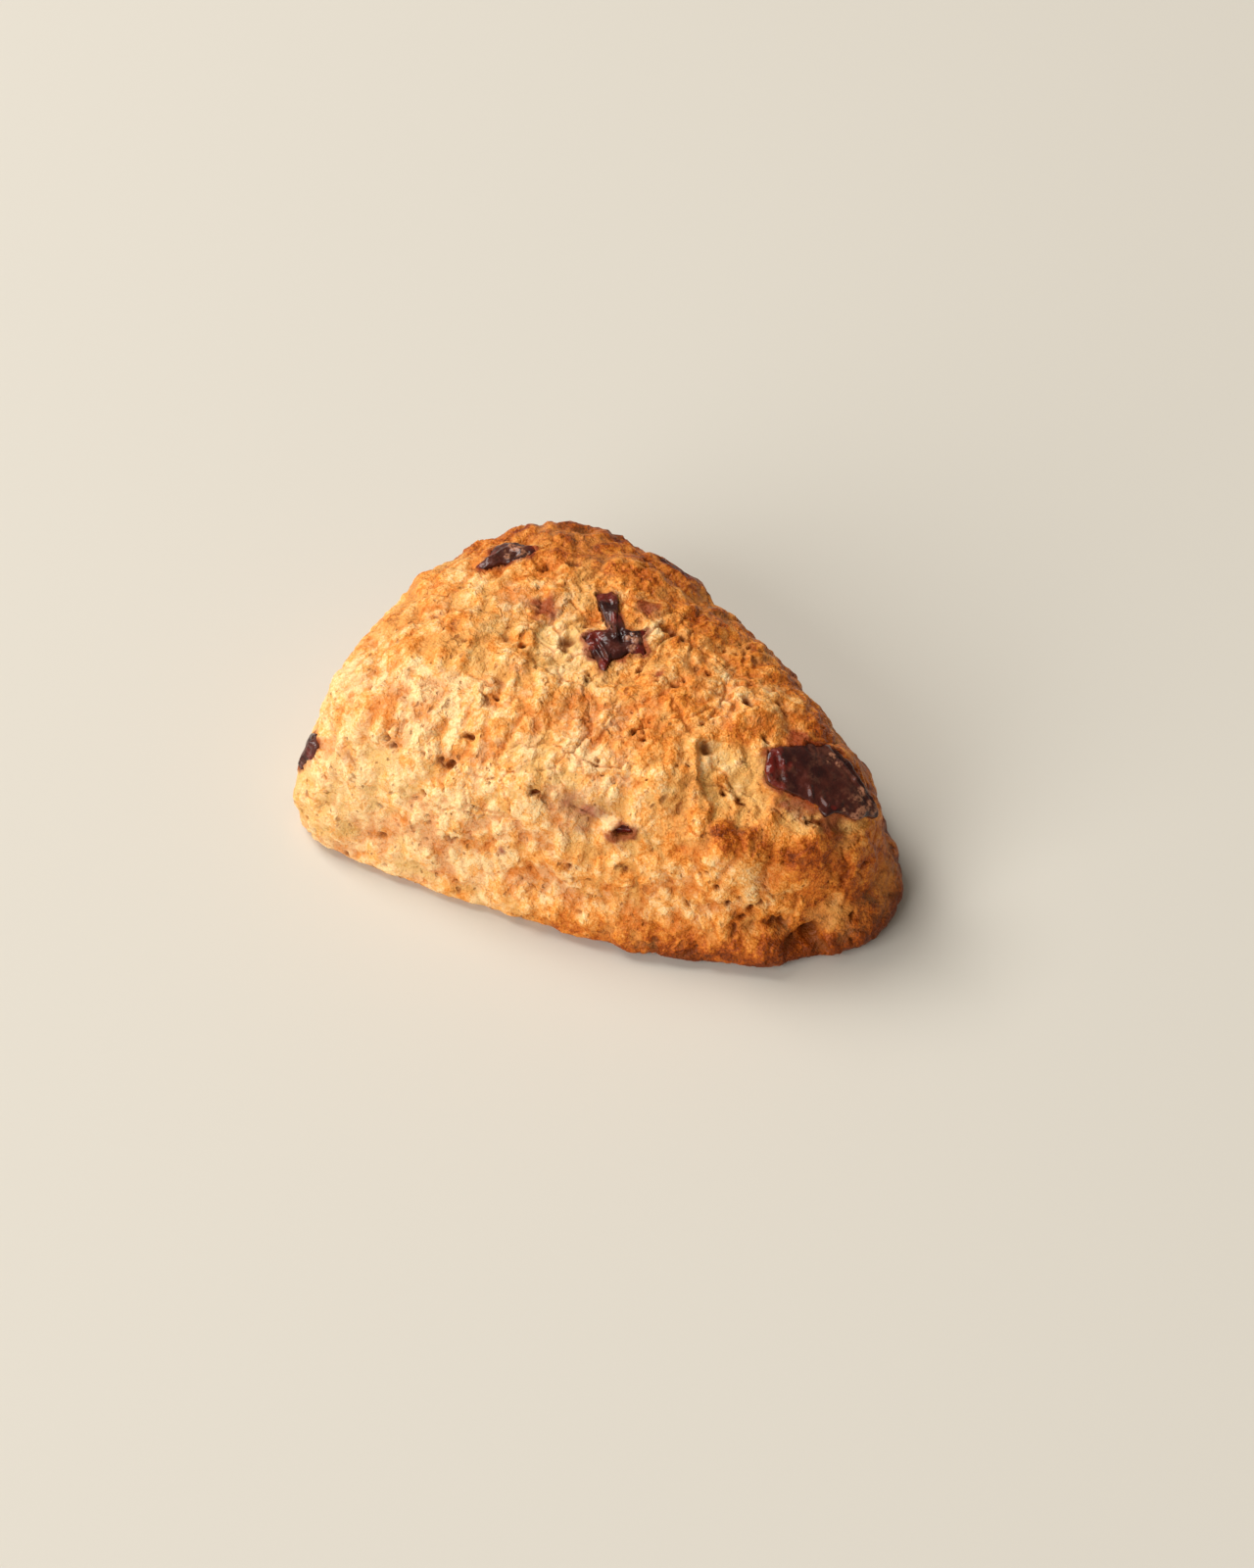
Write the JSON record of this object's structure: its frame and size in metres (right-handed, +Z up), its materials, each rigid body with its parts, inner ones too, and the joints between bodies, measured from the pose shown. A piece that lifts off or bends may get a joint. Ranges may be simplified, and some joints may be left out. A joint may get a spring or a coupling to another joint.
{
  "type": "fruit scone",
  "caption": "Triangular fruit scone: a baked dough wedge with rounded corners, a craggy golden crust, a flat base and dark fruit pieces set in the crust.",
  "frame": {"origin": "centre of the bounding box on the flat base", "axes": "+X along the wedge towards its narrow tip, +Y towards its far cut side, +Z up from the flat base"},
  "size_m": [0.1103, 0.0805, 0.0389],
  "materials": {
    "crust": "baked dough, golden to brown, dry and matt with a faint sheen on the lumps",
    "fruit": "cooked dark red fruit, moist and glossy"
  },
  "bodies": {
    "root": {"dough": "crust", "fruit_big": "fruit", "fruit_top": "fruit", "fruit_shoulder": "fruit", "fruit_heel": "fruit", "fruit_sunk": "fruit", "fruit_far_edge": "fruit"}
  },
  "joints": []
}
